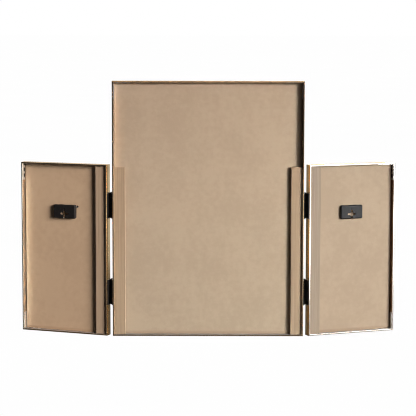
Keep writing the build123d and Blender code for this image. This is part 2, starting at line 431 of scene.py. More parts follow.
@dataclass(frozen=True)
class Surface:
    """A surface that gets a finish: its material's graph, and its points in a panel's own axes."""

    graph: ShaderGraph
    turn: float
    run: Run
    point: Signal

    def noise(self, noise: Noise) -> Signal:
        """Smooth noise over the surface, with values about 0.5."""
        return self.graph.noise(self.point, noise)

    def lines(self, lines: Lines) -> Signal:
        """Lines that run the surface's way.

        Args:
            lines: How long and how fine they are.

        Returns:
            Values about 0.5.
        """
        along, across = lines.along, lines.across
        scale = (along, across, across) if self.run is Run.LEVEL else (across, across, along)
        return self.graph.stretched(self.point, scale, LINE_NOISE)


@dataclass(frozen=True)
class Finish:
    """What a surface is made of. Each finish gives the inputs of one Principled shader."""

    def inputs(self, surface: Surface) -> dict[str, Any]:
        """Make the shader's inputs.

        Args:
            surface: The surface that gets the finish.

        Returns:
            A constant or a signal for each socket of the Principled shader, by identifier.
        """
        raise NotImplementedError

    def shader(self, surface: Surface) -> Signal:
        """Make the shader.

        Args:
            surface: The surface that gets the finish.

        Returns:
            The shader's output.
        """
        return surface.graph.node("ShaderNodeBsdfPrincipled", {}, self.inputs(surface))

    def material(
        self, name: str, turn: float = 0.0, run: Run = Run.UPRIGHT
    ) -> bpy.types.Material:
        """Make the material, or find the one of that name.

        Args:
            name: The material's name.
            turn: The panel's turn about Z.
            run: The way that lines or grain run.

        Returns:
            The material.
        """
        found = bpy.data.materials.get(name)
        if found:
            return found
        made = bpy.data.materials.new(name)
        made.use_nodes = True
        graph = ShaderGraph(made.node_tree)
        surface = Surface(graph, turn, run, graph.coordinates(turn))
        graph.node("ShaderNodeOutputMaterial", {}, {"Surface": self.shader(surface)})
        return made


@dataclass(frozen=True)
class Outside:
    """Where a rail's outer face and its front lip lie, in a panel's own axes."""

    axis: int
    face: float
    outward: int
    front: float


@dataclass(frozen=True)
class Wear:
    """How a frame has aged, with a painted highlight where it faces the key light: the colours of
    its rim, and of the dust on its sill.
    """

    rim: Colour = (0.82, 0.62, 0.42)
    dust: Colour = (0.34, 0.32, 0.30)


# The copy for the wing that faces the key light: its rim and sill colours are painted paler, a
# painted highlight of that light's glint.
KEY_LIT_HIGHLIGHT = Wear(rim=(0.94, 0.89, 0.82), dust=(0.56, 0.55, 0.54))


@dataclass(frozen=True)
class GiltRail(Finish):
    """Metal bar, gilt outside, rubbed on its rim and tarnished within, with dust on its sill. On
    the wing that faces the key light the rim and sill colours are a painted highlight.

    The zones meet in steps that begin at a soft or crisp share of their depth.
    """

    outside: Outside
    wear: Wear
    gilt: Colour = (0.93, 0.64, 0.31)
    worn_gilt: Colour = (0.72, 0.44, 0.18)
    gilt_wear: float = 0.5
    gilt_depth: float = 0.9 * MILLIMETRE
    lip: float = 1.6 * MILLIMETRE
    wall: float = 3.3 * MILLIMETRE
    soft: float = 0.5
    crisp: float = 0.9
    tarnish: Colour = (0.49, 0.33, 0.20)
    dark_tarnish: Colour = (0.38, 0.23, 0.12)
    patch_noise: Noise = Noise(22.0, detail=4.0)
    patch_edge: Edge = (0.45, 0.72)
    smear_noise: Noise = Noise(90.0)
    sill_tilt: Edge = (0.6, 0.9)
    thin_dust: float = 0.7
    more_dust: float = 0.5
    metallic: float = 0.97
    dust_dulling: float = 0.8
    clean_roughness: float = 0.15
    tarnish_roughness: float = 0.27
    patch_roughness: float = 0.07
    smear_roughness: float = 0.05
    dust_roughness: float = 0.4
    polish: Lines = Lines(along=12.0, across=2400.0)
    polish_relief: float = 0.02 * MILLIMETRE

    def inputs(self, surface: Surface) -> dict[str, Any]:
        """Worn gilt and tarnish gather in soft patches, which are also duller.

        Args:
            surface: The surface that gets the finish.

        Returns:
            The shader's inputs, by identifier.
        """
        graph = surface.graph
        depth_in, from_front = self._depths(surface)
        gilded = graph.step(depth_in, self.gilt_depth, self.soft * self.gilt_depth)
        gilded = gilded.at_least(graph.step(from_front, self.lip, self.crisp * self.lip))
        within = graph.step(depth_in, self.crisp * self.wall, self.wall)
        patches = graph.step(surface.noise(self.patch_noise), *self.patch_edge)
        smears = surface.noise(self.smear_noise)
        gold = graph.mix(self.gilt, self.worn_gilt, patches * self.gilt_wear)
        tarnish = graph.mix(self.tarnish, self.dark_tarnish, patches)
        # The rim colour is a painted highlight on the wing that faces the key light.
        metal = graph.mix(graph.mix(self.wear.rim, tarnish, within), gold, gilded)
        _, _, up = graph.axes(graph.node("ShaderNodeNewGeometry", output=GEOMETRY_NORMAL))
        strewn = self.thin_dust + self.more_dust * smears
        dusty = graph.step(up, *self.sill_tilt) * (1.0 - gilded) * strewn
        duller = (self.tarnish_roughness - self.clean_roughness) * within
        uneven = self.patch_roughness * patches + self.smear_roughness * smears
        dusted = self.dust_roughness * dusty
        # The sill's dust colour is painted paler on the wing that faces the key light: a painted
        # highlight.
        return {
            "Base Color": graph.mix(metal, self.wear.dust, dusty),
            "Metallic": self.metallic - self.dust_dulling * dusty,
            "Roughness": self.clean_roughness + duller + uneven + dusted,
            "Normal": graph.bump(surface.lines(self.polish), self.polish_relief),
        }

    def _depths(self, surface: Surface) -> tuple[Signal, Signal]:
        """How far the surface lies inside the outer face, and how far behind the front.

        Args:
            surface: The surface that gets the finish.

        Returns:
            The two distances.
        """
        place = surface.graph.axes(surface.point)
        depth_in = (self.outside.face - place[self.outside.axis]) * self.outside.outward
        return depth_in, place[1] - self.outside.front


@dataclass(frozen=True)
class Silvering(Finish):
    """Mirror silver seen through clear glass, with faint wiping smears, and paint on its back."""

    back: float
    silver: Colour = (0.90, 0.93, 0.92)
    smeared: Colour = (0.86, 0.89, 0.89)
    smears: Lines = Lines(along=4.0, across=16.0)
    smear_edge: Edge = (0.45, 0.8)
    paint: Colour = (0.17, 0.085, 0.045)
    thin_paint: Colour = (0.24, 0.13, 0.075)
    streak_noise: Noise = Noise(60.0, detail=3.0)
    coat: float = 0.3 * MILLIMETRE
    silver_roughness: float = 0.008
    smear_roughness: float = 0.02
    paint_roughness: float = 0.5

    def inputs(self, surface: Surface) -> dict[str, Any]:
        """The smears are long, soft and hardly rougher. The paint covers the back.

        Args:
            surface: The surface that gets the finish.

        Returns:
            The shader's inputs, by identifier.
        """
        graph = surface.graph
        smears = graph.step(surface.lines(self.smears), *self.smear_edge)
        _, depth, _ = graph.axes(surface.point)
        painted = graph.step(depth, self.back - 2 * self.coat, self.back - self.coat)
        silver = graph.mix(self.silver, self.smeared, smears)
        paint = graph.mix(self.paint, self.thin_paint, surface.noise(self.streak_noise))
        uneven = self.smear_roughness * smears + self.paint_roughness * painted
        return {
            "Base Color": graph.mix(silver, paint, painted),
            "Metallic": 1.0 - painted,
            "Roughness": self.silver_roughness + uneven,
        }


@dataclass(frozen=True)
class Fibreboard(Finish):
    """Raw fibreboard: pressed wood fibre, mottled and faintly fuzzy, darker along its bottom."""

    bottom: float
    pale: Colour = (0.493, 0.375, 0.263)
    dark: Colour = (0.455, 0.343, 0.240)
    cloud_noise: Noise = Noise(9.0, detail=3.0, roughness=0.55)
    blotch_noise: Noise = Noise(75.0, detail=3.0, roughness=0.6)
    cloud_share: float = 0.55
    mottle_edge: Edge = (0.38, 0.62)
    fibre: Colour = (0.33, 0.235, 0.155)
    fibre_lines: Lines = Lines(along=900.0, across=2600.0)
    fibre_noise: Noise = Noise(1.0)
    fibre_edge: Edge = (0.60, 0.72)
    fibre_share: float = 0.2
    fleck: Colour = (0.60, 0.47, 0.34)
    fleck_noise: Noise = Noise(1700.0, detail=1.0)
    fleck_edge: Edge = (0.66, 0.76)
    fleck_share: float = 0.25
    # A darker tone in a band along the board's bottom edge.
    grime: Colour = (0.39, 0.28, 0.19)
    grime_height: float = 9 * MILLIMETRE
    grime_full: float = 0.4
    thin_grime: float = 0.6
    more_grime: float = 0.6
    roughness: float = 0.88
    specular: float = 0.25
    fuzz_noise: Noise = Noise(2200.0, detail=3.0)
    fuzz_relief: float = 0.06 * MILLIMETRE

    def inputs(self, surface: Surface) -> dict[str, Any]:
        """Broad clouds and blotches, with fibres and flecks over them, and a darker band at the
        bottom.

        Args:
            surface: The surface that gets the finish.

        Returns:
            The shader's inputs, by identifier.
        """
        graph, point = surface.graph, surface.point
        clouds = surface.noise(self.cloud_noise)
        blotches = surface.noise(self.blotch_noise)
        mixed = self.cloud_share * clouds + (1.0 - self.cloud_share) * blotches
        ground = graph.mix(self.dark, self.pale, graph.step(mixed, *self.mottle_edge))
        along, across = self.fibre_lines.along, self.fibre_lines.across
        level = graph.stretched(point, (along, along, across), self.fibre_noise)
        upright = graph.stretched(point, (across, across, along), self.fibre_noise)
        fibres = graph.step(level.at_least(upright), *self.fibre_edge)
        fibrous = graph.mix(ground, self.fibre, fibres * self.fibre_share)
        _, _, z = graph.axes(point)
        # A patchy darker band along the board's bottom edge, by the sill.
        band_top = self.bottom + self.grime_height
        near_bottom = graph.step(z, band_top, self.bottom + self.grime_full * self.grime_height)
        patchy = near_bottom * (self.thin_grime + self.more_grime * blotches)
        flecks = graph.step(surface.noise(self.fleck_noise), *self.fleck_edge)
        banded = graph.mix(fibrous, self.grime, patchy)
        height = 0.5 * surface.noise(self.fuzz_noise) + 0.5 * fibres
        return {
            "Base Color": graph.mix(banded, self.fleck, flecks * self.fleck_share),
            "Roughness": self.roughness,
            "Specular IOR Level": self.specular,
            "Normal": graph.bump(height, self.fuzz_relief),
        }


@dataclass(frozen=True)
class BattenWood(Finish):
    """Planed softwood strip with close, straight grain."""

    early: Colour = (0.416, 0.327, 0.239)
    late: Colour = (0.345, 0.264, 0.191)
    broad_grain: Lines = Lines(along=2.5, across=160.0)
    fine_grain: Lines = Lines(along=14.0, across=900.0)
    broad_share: float = 0.6
    grain_edge: Edge = (0.40, 0.62)
    pore: Colour = (0.22, 0.135, 0.08)
    pores: Lines = Lines(along=90.0, across=3000.0)
    pore_edge: Edge = (0.64, 0.74)
    pore_share: float = 0.35
    pore_depth: float = 0.6
    roughness: float = 0.72
    grain_roughness: float = 0.1
    specular: float = 0.35
    grain_relief: float = 0.05 * MILLIMETRE

    def inputs(self, surface: Surface) -> dict[str, Any]:
        """Broad grain with finer lines in it, and short dark pores.

        Args:
            surface: The surface that gets the finish.

        Returns:
            The shader's inputs, by identifier.
        """
        graph = surface.graph
        fine = surface.lines(self.fine_grain)
        broad = surface.lines(self.broad_grain)
        mixed = self.broad_share * broad + (1.0 - self.broad_share) * fine
        ground = graph.mix(self.early, self.late, graph.step(mixed, *self.grain_edge))
        pores = graph.step(surface.lines(self.pores), *self.pore_edge)
        height = fine - self.pore_depth * pores
        return {
            "Base Color": graph.mix(ground, self.pore, pores * self.pore_share),
            "Roughness": self.roughness + self.grain_roughness * fine,
            "Specular IOR Level": self.specular,
            "Normal": graph.bump(height, self.grain_relief),
        }


@dataclass(frozen=True)
class Zinc(Finish):
    """Zinc-plated steel strip with a faint crystal pattern."""

    bright: Colour = (0.80, 0.79, 0.76)
    grey: Colour = (0.54, 0.53, 0.51)
    crystal_scale: float = 420.0
    contrast: float = 0.6
    metallic: float = 0.85
    roughness: float = 0.32
    crystal_roughness: float = 0.12
    rolling: Lines = Lines(along=60.0, across=3000.0)
    rolling_relief: float = 0.01 * MILLIMETRE

    def inputs(self, surface: Surface) -> dict[str, Any]:
        """Each crystal of the plating has its own grey.

        Args:
            surface: The surface that gets the finish.

        Returns:
            The shader's inputs, by identifier.
        """
        graph = surface.graph
        values = {"Vector": surface.point, "Scale": self.crystal_scale}
        shade, _, _ = graph.axes(graph.node("ShaderNodeTexVoronoi", {}, values, CELL_COLOUR))
        return {
            "Base Color": graph.mix(self.bright, self.grey, shade * self.contrast),
            "Metallic": self.metallic,
            "Roughness": self.roughness + self.crystal_roughness * shade,
            "Normal": graph.bump(surface.lines(self.rolling), self.rolling_relief),
        }


@dataclass(frozen=True)
class BlackPaint(Finish):
    """Stoved black paint on steel, rippled and rubbed in spots. A box of it is bare within.

    The box is the lowest and highest corner of a pressed box that is open towards the board.
    """

    paint: Colour = (0.012, 0.012, 0.013)
    rubbed: Colour = (0.10, 0.095, 0.09)
    spot_noise: Noise = Noise(260.0, detail=5.0, roughness=0.7)
    spot_edge: Edge = (0.62, 0.72)
    rubbing: float = 0.5
    roughness: float = 0.34
    ripple_roughness: float = 0.08
    spot_polish: float = 0.06
    specular: float = 0.5
    ripple_noise: Noise = Noise(1300.0, detail=1.0)
    ripple_relief: float = 0.03 * MILLIMETRE
    box: tuple[Vector, Vector] | None = None
    bare: Colour = (0.78, 0.76, 0.72)
    sheet: float = 1.2 * MILLIMETRE
    outer_skin: float = 0.8

    def inputs(self, surface: Surface) -> dict[str, Any]:
        """Rubbed spots are greyer and smoother than the paint round them.

        Args:
            surface: The surface that gets the finish.

        Returns:
            The shader's inputs, by identifier.
        """
        graph = surface.graph
        ripple = surface.noise(self.ripple_noise)
        spots = graph.step(surface.noise(self.spot_noise), *self.spot_edge)
        colour = graph.mix(self.paint, self.rubbed, spots * self.rubbing)
        if self.box:
            colour = graph.mix(colour, self.bare, self._within(surface, *self.box))
        uneven = self.ripple_roughness * ripple - self.spot_polish * spots
        return {
            "Base Color": colour,
            "Roughness": self.roughness + uneven,
            "Specular IOR Level": self.specular,
            "Normal": graph.bump(ripple, self.ripple_relief),
        }

    def _within(self, surface: Surface, low: Vector, high: Vector) -> Signal:
        """Which surfaces of the box lie inside it: those that face the middle of its mouth.

        Args:
            surface: The surface that gets the finish.
            low: The box's lowest corner, in the panel's own axes.
            high: The box's highest corner, in the panel's own axes.

        Returns:
            1 inside the box, 0 on its outside.
        """
        graph = surface.graph
        mouth = Vector(((low.x + high.x) / 2, low.y, (low.z + high.z) / 2))
        from_mouth = graph.vector_math("SUBTRACT", surface.point, mouth)
        normal = graph.directions(surface.turn)
        away = graph.vector_math("DOT_PRODUCT", from_mouth, normal, VECTOR_VALUE)
        facing = graph.step(away, 0.0, -self.sheet)
        _, y, _ = graph.axes(surface.point)
        skin = high.y - self.outer_skin * self.sheet
        return facing * graph.step(y, skin, high.y - self.sheet)


@dataclass(frozen=True)
class Foam(Finish):
    """Pale packing foam with small closed cells."""

    skin: Colour = (0.80, 0.80, 0.79)
    cell: Colour = (0.62, 0.62, 0.61)
    cell_scale: float = 900.0
    roughness: float = 0.95
    cell_relief: float = 0.2 * MILLIMETRE

    def inputs(self, surface: Surface) -> dict[str, Any]:
        """The cells' walls are raised.

        Args:
            surface: The surface that gets the finish.

        Returns:
            The shader's inputs, by identifier.
        """
        graph = surface.graph
        values = {"Vector": surface.point, "Scale": self.cell_scale}
        cells = graph.node("ShaderNodeTexVoronoi", {}, values)
        return {
            "Base Color": graph.mix(self.cell, self.skin, cells),
            "Roughness": self.roughness,
            "Normal": graph.bump(cells, self.cell_relief),
        }


@dataclass(frozen=True)
class Adhesive(Finish):
    """Near-black painted shade that fills the brace slots, with a dull skin: it stands in for the
    shadow inside them.
    """

    # Painted shade: these near-black colours stand in for the shadow in the slots.
    body: Colour = (0.003, 0.003, 0.003)
    bloom: Colour = (0.010, 0.010, 0.010)
    lump_noise: Noise = Noise(700.0, detail=3.0)
    roughness: float = 0.75
    lump_roughness: float = 0.2
    specular: float = 0.12
    lump_relief: float = 0.3 * MILLIMETRE

    def inputs(self, surface: Surface) -> dict[str, Any]:
        """The skin is lumpy, and its painted shade is a little paler in places.

        Args:
            surface: The surface that gets the finish.

        Returns:
            The shader's inputs, by identifier.
        """
        lumps = surface.noise(self.lump_noise)
        return {
            "Base Color": surface.graph.mix(self.body, self.bloom, lumps),
            "Roughness": self.roughness + self.lump_roughness * lumps,
            "Specular IOR Level": self.specular,
            "Normal": surface.graph.bump(lumps, self.lump_relief),
        }


@dataclass(frozen=True)
class StudioPaper(Finish):
    """White paper with painted shade near the mirror, where a flag would shade it, glowing evenly
    white to the camera so that it shows no shadow.
    """

    sheet: Colour = (1.0, 1.0, 1.0)
    shade: Colour = (0.985, 0.985, 0.985)
    # Painted shade near the mirror, where a flag would shade the paper; open paper well in front.
    flagged: Colour = (0.05, 0.05, 0.05)
    open_paper: Colour = (0.32, 0.32, 0.32)
    flag_edge: Edge = (1.7, 2.9)
    cloud_noise: Noise = Noise(1.5, detail=3.0)
    thin_cloud: float = 0.85
    more_cloud: float = 0.3
    roughness: float = 0.9
    specular: float = 0.1

    def inputs(self, surface: Surface) -> dict[str, Any]:
        """What the paper throws back on to the mirror: painted shade near it, more where it lies
        well in front.

        Args:
            surface: The surface that gets the finish.

        Returns:
            The shader's inputs, by identifier.
        """
        graph = surface.graph
        _, back, _ = graph.axes(surface.point)
        cloudy = self.thin_cloud + self.more_cloud * surface.noise(self.cloud_noise)
        # Painted shade that gives way to open paper well in front of the mirror.
        in_front = graph.step(-back, *self.flag_edge) * cloudy
        return {
            "Base Color": graph.mix(self.flagged, self.open_paper, in_front),
            "Roughness": self.roughness,
            "Specular IOR Level": self.specular,
        }

    def shader(self, surface: Surface) -> Signal:
        """The paper as the mirror sees it, and its glow as the camera sees it.

        Args:
            surface: The surface that gets the finish.

        Returns:
            The shader's output.
        """
        graph = surface.graph
        lit = super().shader(surface)
        colour = graph.mix(self.sheet, self.shade, surface.noise(self.cloud_noise))
        glow = graph.node("ShaderNodeEmission", {}, {"Color": colour, "Strength": 1.0})
        seen = graph.node("ShaderNodeLightPath")
        values = {"Fac": seen, "Shader": lit, "Shader_001": glow}
        return graph.node("ShaderNodeMixShader", {}, values)


# ---- Pieces ----


def extent(
    node: str,
    turn: float,
    keep: Callable[[Vector], bool] = lambda point: True,
) -> tuple[Vector, Vector]:
    """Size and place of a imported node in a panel's own axes.

    Args:
        node: The node's name.
        turn: The panel's turn about Z.
        keep: Which of its points count.

    Returns:
        The lowest and highest corner.
    """
    turned = Matrix.Rotation(turn, 3, "Z")
    points = [turned @ vertex.co for vertex in frame["nodes"][node].data.vertices]
    kept = [point for point in points if keep(point)]
    return Vector(map(min, *kept)), Vector(map(max, *kept))


def round_off(
    shape: bmesh.types.BMesh, edges: list[bmesh.types.BMEdge], width: float, steps: int
) -> list[bmesh.types.BMVert]:
    """Round edges off.

    Args:
        shape: The shape that they belong to.
        edges: The edges.
        width: How far from each edge the rounding begins.
        steps: How many faces go round each edge.

    Returns:
        The rounding's vertices.
    """
    made = bmesh.ops.bevel(
        shape,
        geom=edges,
        offset=width,
        offset_type="OFFSET",
        segments=steps,
        profile=0.5,
        affect="EDGES",
        material=-1,
    )
    return made["verts"]


def finished_piece(
    name: str, shape: bmesh.types.BMesh, turn: float, material: bpy.types.Material
) -> bpy.types.Object:
    """Turn a shape from a panel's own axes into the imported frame, and make it an object.

    Args:
        name: The piece's name.
        shape: The shape, which is freed.
        turn: The panel's turn about Z.
        material: The piece's material.

    Returns:
        The object, with its place in its mesh.
    """
    back = Matrix.Rotation(-turn, 3, "Z")
    bmesh.ops.rotate(shape, cent=(0.0, 0.0, 0.0), matrix=back, verts=shape.verts)
    bmesh.ops.recalc_face_normals(shape, faces=shape.faces)
    mesh = bpy.data.meshes.new(name)
    shape.to_mesh(mesh)
    shape.free()
    mesh.materials.append(material)
    piece = bpy.data.objects.new(name, mesh)
    bpy.context.scene.collection.objects.link(piece)
    LOG.info("built %s: %d faces", name, len(mesh.polygons))
    return piece


def dress(node: str, material: bpy.types.Material) -> None:
    """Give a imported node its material.

    Args:
        node: The node's name.
        material: The material.
    """
    for slot in frame["nodes"][node].material_slots:
        slot.material = material
    LOG.info("dressed %s in %s", node, material.name)


@dataclass(frozen=True)
class SlotGlue:
    """Near-black plugs of painted shade in the slots of a corner brace, a little below its face:
    they stand in for the shadow inside the slots.
    """

    slot_length: float = 10 * MILLIMETRE
    slot_width: float = 6.0 * MILLIMETRE
    slot_shift: float = 1.4 * MILLIMETRE
    slot_pitch: float = 14.4 * MILLIMETRE
    first_slot: float = 0.8 * MILLIMETRE
    slot_count: int = 3
    depth: float = 1.1 * MILLIMETRE
    margin: float = 0.05 * MILLIMETRE
    corner_clearance: float = 1.3 * MILLIMETRE
    outline_points: int = 24
    rounding: float = 0.2 * MILLIMETRE
    rounding_steps: int = 2

    def plugs(
        self, shape: bmesh.types.BMesh, corner: Vector, along: Vector, inward: Vector
    ) -> None:
        """Add one plug for each slot of a leg.

        Args:
            shape: The shape that the plugs go into, in the panel's own axes.
            corner: Where the two legs' outer faces meet, at the middle of the slots' width.
            along: Unit vector along the slotted leg.
            inward: Unit vector from the leg's outer face through its thickness.
        """
        for i in range(self.slot_count):
            middle = self.first_slot + self.slot_pitch * i
            start = self.corner_clearance - middle
            self._plug(shape, corner + along * middle, along, inward, start)

    def _plug(
        self, shape: bmesh.types.BMesh, place: Vector, along: Vector, inward: Vector, start: float
    ) -> None:
        """Add one plug.

        Args:
            shape: The shape that it goes into.
            place: The middle of its hidden face.
            along: Unit vector along its length.
            inward: Unit vector through its thickness.
            start: How far from its middle it may begin, negative towards the corner.
        """
        radius = self.slot_width / 2 - self.margin
        straight = (self.slot_length - self.slot_width) / 2
        ring = bmesh.ops.create_circle(
            shape, cap_ends=True, segments=self.outline_points, radius=radius
        )["verts"]
        for vertex in ring:
            vertex.co.x = max(start, vertex.co.x + math.copysign(straight, vertex.co.x))
        face = next(face for face in ring[0].link_faces)
        sides = bmesh.ops.extrude_face_region(shape, geom=[face])["geom"]
        top = [item for item in sides if isinstance(item, bmesh.types.BMVert)]
        bmesh.ops.translate(shape, vec=(0.0, 0.0, self.depth), verts=top)
        edges = {edge for vertex in top for edge in vertex.link_edges}
        rim = [edge for edge in edges if all(vertex in top for vertex in edge.verts)]
        rounded = round_off(shape, rim, self.rounding, self.rounding_steps)
        stand = Matrix((along, inward.cross(along), inward)).transposed().to_4x4()
        stand.translation = place
        verts = {vertex for vertex in [*ring, *top, *rounded] if vertex.is_valid}
        bmesh.ops.transform(shape, matrix=stand, verts=list(verts))


@dataclass(frozen=True)
class Corner:
    """A corner with a brace, and which of the brace's legs has the slots."""

    side: Side
    end: End
    slotted: Run


@dataclass
class FramedPanel:
    """One framed mirror: rails, glass, foam, board, battens and braces."""

    name: str
    body: str
    turn: float
    rails: Mapping[str, Run]
    battens: tuple[str, ...]
    corners: tuple[Corner, ...]
    wear: Wear = Wear()
    wood: BattenWood = BattenWood()
    zinc: Zinc = Zinc()
    foam: Foam = Foam()
    # Plugs of painted shade for the brace slots, and their near-black finish.
    glue: SlotGlue = SlotGlue()
    adhesive: Adhesive = Adhesive()

    def dress_rails(self) -> None:
        """Polish each rail along its length, and gild its outside."""
        panel_low, panel_high = extent(f"{self.name}_backing_board", self.turn)
        middle = (panel_low + panel_high) / 2
        for rail, run in self.rails.items():
            node = f"{self.name}_{rail}_rail"
            low, high = extent(node, self.turn)
            axis = 2 if run is Run.LEVEL else 0
            if low[axis] + high[axis] > 2 * middle[axis]:
                outside = Outside(axis, face=high[axis], outward=1, front=low.y)
            else:
                outside = Outside(axis, face=low[axis], outward=-1, front=low.y)
            dress(node, GiltRail(outside, self.wear).material(f"{node}_gilt", self.turn, run))

    def dress_filling(self) -> None:
        """Finish what the frame holds, from the glass to the board."""
        glass = f"{self.name}_mirror_glass"
        _, high = extent(glass, self.turn)
        dress(glass, Silvering(high.y).material(f"{self.name}_silvering", self.turn))
        dress(f"{self.name}_foam_sheet", self.foam.material("packing_foam"))
        board = f"{self.name}_backing_board"
        low, _ = extent(board, self.turn)
        dress(board, Fibreboard(low.z).material(f"{self.name}_fibreboard", self.turn))

    def dress_battens(self) -> None:
        """Run the battens' grain along them."""
        for batten in self.battens:
            dress(batten, self.wood.material(f"{self.name}_batten_wood", self.turn, Run.UPRIGHT))

    def dress_braces(self) -> None:
        """Finish the braces and fill their slots with painted shade."""
        node = f"{self.name}_corner_braces"
        dress(node, self.zinc.material(f"{self.name}_zinc", self.turn))
        shape = bmesh.new()
        for corner in self.corners:
            self._fill_slots(shape, node, corner)
        # The plugs are painted shade, standing in for the shadow in the brace slots.
        material = self.adhesive.material("black_adhesive")
        piece = finished_piece(f"{self.name}_brace_adhesive", shape, self.turn, material)
        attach(piece, self.body)

    def _fill_slots(self, shape: bmesh.types.BMesh, node: str, corner: Corner) -> None:
        """Fill the slots of one brace.

        Args:
            shape: The shape that the plugs go into.
            node: The node of the panel's braces.
            corner: The brace's corner.
        """
        low, high = extent(node, self.turn)
        middle = (low + high) / 2
        at_right, at_top = corner.side is Side.RIGHT, corner.end is End.TOP
        one_above_the_other = len({other.end for other in self.corners}) > 1
        if one_above_the_other:
            low, high = extent(node, self.turn, lambda point: (point.z > middle.z) == at_top)
        else:
            low, high = extent(node, self.turn, lambda point: (point.x > middle.x) == at_right)
        tip = Vector((
            high.x if at_right else low.x,
            (low.y + high.y) / 2 - self.glue.slot_shift,
            high.z if at_top else low.z,
        ))
        to_side = Vector((-corner.side.value, 0.0, 0.0))
        to_end = Vector((0.0, 0.0, -corner.end.value))
        if corner.slotted is Run.UPRIGHT:
            self.glue.plugs(shape, tip, to_end, to_side)
        else:
            self.glue.plugs(shape, tip, to_side, to_end)

    def build(self) -> None:
        """Dress every piece of the panel."""
        self.dress_rails()
        self.dress_filling()
        self.dress_battens()
        self.dress_braces()


@dataclass(frozen=True)
class Tack:
    """A round-headed tack driven into the board beside the hanger, under its upper corner."""

    head_radius: float = 2.7 * MILLIMETRE
    head_height: float = 1.9 * MILLIMETRE
    outline_points: int = 32
    dome: float = 1.4 * MILLIMETRE
    dome_steps: int = 5
    seat: float = 0.3 * MILLIMETRE
    drop: float = 3.9 * MILLIMETRE
    clearance: float = 0.1 * MILLIMETRE

    def shape(self, corner: Vector, board_back: float) -> bmesh.types.BMesh:
        """Make the tack's head.

        Args:
            corner: The hanger's upper corner on the hinge side, in the panel's own axes.
            board_back: The board's back face, along the panel's depth.

        Returns:
            The head, in the panel's own axes.
        """
        shape = bmesh.new()
        height = self.head_height + self.seat
        bmesh.ops.create_cone(
            shape,
            cap_ends=True,
            segments=self.outline_points,
            radius1=self.head_radius,
            radius2=self.head_radius,
            depth=height,
        )
        crown = [edge for edge in shape.edges if all(vertex.co.z > 0.0 for vertex in edge.verts)]
        round_off(shape, crown, self.dome, self.dome_steps)
        place = Matrix.Rotation(-math.pi / 2, 4, "X")
        place.translation = (
            corner.x - self.head_radius - self.clearance,
            board_back - self.seat + height / 2,
            corner.z - self.drop,
        )
        bmesh.ops.transform(shape, matrix=place, verts=shape.verts)
        return shape


@dataclass
class Hanger:
    """The keyhole hanger on one wing, with its rivets, and a tack beside it on one of them."""

    side: Side
    turn: float
    tack: Tack | None = None
    paint: BlackPaint = BlackPaint(roughness=0.37, specular=0.27)
    steel: Zinc = Zinc()

    def build(self) -> None:
        """Dress the plate and its rivets, and drive the tack in where there is one."""
        wing = f"{self.side.word}_wing"
        plate = f"{wing}_hanger_plate"
        low, high = extent(plate, self.turn)
        material = replace(self.paint, box=(low, high)).material(f"{wing}_hanger_paint", self.turn)
        dress(plate, material)
        dress(f"{wing}_hanger_rivets", self.steel.material("rivet_zinc"))
        if self.tack:
            _, board_high = extent(f"{wing}_backing_board", self.turn)
            shape = self.tack.shape(Vector((low.x, high.y, high.z)), board_high.y)
            piece = finished_piece(f"{wing}_hanger_tack", shape, self.turn, material)
            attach(piece, wing)


@dataclass
class HingePair:
    """The two butt hinges of one wing, with their screws."""

    side: Side
    levels: tuple[str, ...] = ("lower", "upper")
    paint: BlackPaint = BlackPaint()

    def build(self) -> None:
        """Dress leaves, pins and screws."""
        side = self.side.word
        leaf_paint = self.paint.material("hinge_paint")
        for level in self.levels:
            for piece in ("fixed_leaf", "wing_leaf", "pin"):
                dress(f"{side}_{level}_hinge_{piece}", leaf_paint)
        for panel in ("centre", "wing"):
            dress(f"{side}_hinge_{panel}_screws", leaf_paint)


# ---- Studio ----


@dataclass(frozen=True)
class Softbox:
    """A soft rectangular light that faces the mirror, and may be kept to part of it."""

    name: str
    azimuth: float
    height: float
    distance: float
    width: float
    tall: float
    power: float
    bodies: tuple[str, ...] = ()
    nodes: tuple[str, ...] = ()
    colour: Colour = (1.0, 1.0, 1.0)
    beam: float = math.pi
    aside: Triple = (0.0, 0.0, 0.0)

    def build(self, target: Vector) -> None:
        """Hang the light, out of the camera's sight.

        Args:
            target: The point that it faces, but for its offset. Azimuth 0 is straight behind
                the mirror, on the +Y side, and a positive azimuth is towards the left wing.
        """
        light = bpy.data.lights.new(self.name, "AREA")
        light.shape = "RECTANGLE"
        light.size = self.width
        light.size_y = self.tall
        light.energy = self.power
        light.color = self.colour
        light.spread = self.beam
        lamp = bpy.data.objects.new(self.name, light)
        bearing = Vector((-math.sin(self.azimuth), math.cos(self.azimuth), 0.0))
        lamp.location = Vector((target.x, target.y, self.height)) + bearing * self.distance
        aim = lamp.location - target - Vector(self.aside)
        lamp.rotation_euler = aim.to_track_quat("Z", "Y").to_euler()
        lamp.visible_camera = False
        bpy.context.scene.collection.objects.link(lamp)
        if self.bodies or self.nodes:
            lamp.light_linking.receiver_collection = self._lit_pieces()

    def _lit_pieces(self) -> bpy.types.Collection:
        """Gather the pieces that the light reaches.

        Returns:
            Whole bodies with the floor, or single nodes.
        """
        lit = bpy.data.collections.new(f"{self.name}_lit_pieces")
        for piece in bpy.data.objects:
            if self.bodies and (piece.get("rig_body") in self.bodies or piece.get("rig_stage")):
                lit.objects.link(piece)
        for node in self.nodes:
            lit.objects.link(frame["nodes"][node])
        return lit


